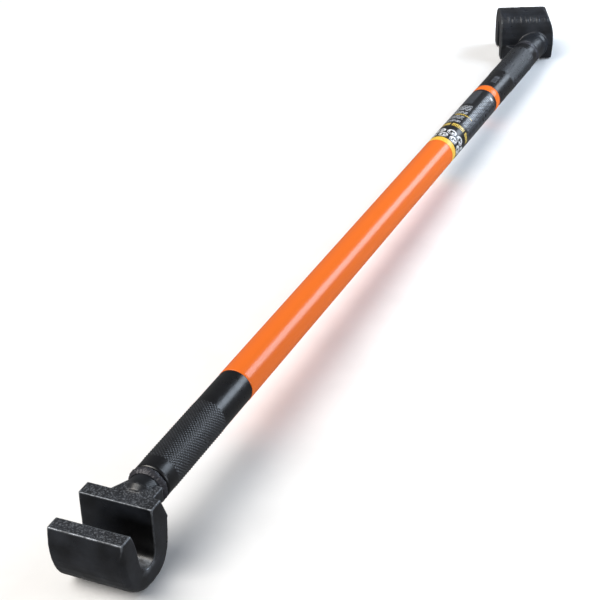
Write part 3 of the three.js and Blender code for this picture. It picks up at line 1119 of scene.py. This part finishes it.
@dataclass
class Studio:
    """A pale floor, soft lights and the camera."""

    tool: ToolFrame
    floor_size: float = 30.0
    floor_gap: float = 0.0006
    camera_offset: tuple[float, float, float] = (0.5705, -1.39528, 0.82017)
    azimuth: float = 25.709
    elevation: float = 31.328
    roll: float = -3.076
    lens: float = 96.0
    sensor: float = 36.0
    backdrop_seen: float = 0.95
    backdrop_light: float = 0.16

    def floor(self) -> None:
        """Lays the paper that the tool lies on."""
        bpy.ops.mesh.primitive_plane_add(size=self.floor_size, location=(0, 0, -self.floor_gap))
        paper = bpy.context.object
        paper.name = "studio_floor"
        paper.data.materials.append(StudioPaper().material())
        # Black flags keep the bright paper out of the steel's reflections.
        paper.visible_glossy = False

    def camera(self) -> None:
        """Sets up the camera in front of the tool, to its right and above it."""
        data = bpy.data.cameras.new("studio_camera")
        data.lens = self.lens
        data.sensor_width = self.sensor
        data.clip_start = 0.05
        data.clip_end = 100.0
        camera = bpy.data.objects.new("studio_camera", data)
        bpy.context.scene.collection.objects.link(camera)
        turn = Matrix.Rotation(math.radians(self.azimuth), 4, "Z")
        tilt = Matrix.Rotation(math.radians(90 - self.elevation), 4, "X")
        roll = Matrix.Rotation(math.radians(self.roll), 4, "Z")
        place = self.tool.matrix.translation + Vector(self.camera_offset)
        camera.matrix_world = Matrix.Translation(place) @ turn @ tilt @ roll
        bpy.context.scene.camera = camera

    def softbox(
        self,
        name: str,
        place: tuple[float, float, float],
        aim: tuple[float, float, float],
        size: tuple[float, float],
        watts: float,
        colour: str,
    ) -> None:
        """Adds a rectangular softbox.

        Args:
            name: The light's name.
            place: Its centre, in metres.
            aim: The point that it faces.
            size: Its two sides, in metres.
            watts: Its power.
            colour: Its sRGB hex colour.
        """
        data = bpy.data.lights.new(name, "AREA")
        data.shape = "RECTANGLE"
        data.size, data.size_y = size
        data.energy = watts
        data.color = linear(colour)[:3]
        light = bpy.data.objects.new(name, data)
        bpy.context.scene.collection.objects.link(light)
        light.location = place
        facing = Vector(aim) - Vector(place)
        light.rotation_mode = "QUATERNION"
        light.rotation_quaternion = facing.to_track_quat("-Z", "Y")
        light.visible_camera = False

    def sky(self, direction: tuple[float, float, float], spread: float, strength: float) -> None:
        """Adds a large overhead silk, which lights the whole floor evenly.

        Args:
            direction: The way from the tool to the middle of the silk.
            spread: How many degrees across it looks.
            strength: The light that falls square to it, in watts on a square metre.
        """
        data = bpy.data.lights.new("overhead_silk", "SUN")
        data.angle = math.radians(spread)
        data.energy = strength
        light = bpy.data.objects.new("overhead_silk", data)
        bpy.context.scene.collection.objects.link(light)
        light.rotation_mode = "QUATERNION"
        light.rotation_quaternion = (-Vector(direction)).to_track_quat("-Z", "Y")

    def lights(self) -> None:
        """Lights the tool from the front left, with a long strip behind it on the right for the sheen."""
        self.softbox("key_softbox", (-1.3, -1.7, 1.9), (0, 0, 0), (1.6, 1.6), 30, "FFF4E4")
        self.softbox("rear_strip", (0.76, 1.42, 0.66), (0, 1.42, 0), (2.1, 0.6), 24, "DCE9F8")
        self.softbox("side_fill", (1.6, -0.3, 0.5), (0.0, -0.55, 0.03), (0.8, 0.8), 8, "E8EEF8")
        self.sky((-0.45, -0.55, 1.0), 50, 2.3)
        world = bpy.data.worlds.new("studio_world")
        world.use_nodes = True
        tree = world.node_tree
        # The backdrop looks pale, and lights the tool much less than it looks.
        seen = add(tree, "LightPath").outputs["Is Camera Ray"]
        backdrop = tree.nodes["Background"]
        backdrop.inputs["Color"].default_value = linear("FFFFFF")
        strength = between(tree, seen, self.backdrop_light, self.backdrop_seen, 0.0, 1.0)
        tree.links.new(strength, backdrop.inputs["Strength"])
        bpy.context.scene.world = world
        bpy.context.scene.view_settings.view_transform = "Standard"

    def build(self) -> None:
        """Sets up the floor, camera and lights."""
        self.camera()
        self.floor()
        self.lights()


def main() -> None:
    """Builds every piece of the tool and the studio round it."""
    logging.basicConfig(level=logging.INFO, format="%(name)s: %(message)s")
    tool = ToolFrame.from_cad()
    Studio(tool).build()
    ForgedHook(tool, End.NEAR, neck_length=16, tip_level=9.2, height=68.8, yaw=0).build()
    ForgedHook(tool, End.FAR, neck_length=37, tip_level=22, height=62.3, yaw=24).build()
    near_bead = [(15.6, -7.8), (17.2, -6.6), (18.3, -4.6), (18.4, -2.8), (17.5, -1.2), (16.6, -0.3)]
    far_bead = [(17, -7.4), (17.7, -6), (17.8, -4), (17.2, -2.4), (17.3, -1.2), (16.7, -0.3)]
    WeldBead(tool, End.NEAR, near_bead).build()
    WeldBead(tool, End.FAR, far_bead, ripple=0.14, lump=0.3, highest=0.0).build()
    KnurledGrip(tool, End.NEAR).build()
    KnurledGrip(tool, End.FAR, marked=True).build()
    OrangeSleeve(tool).build()
    Label(tool).build()
    CentreTube().build()


if __name__ == "__main__":
    main()
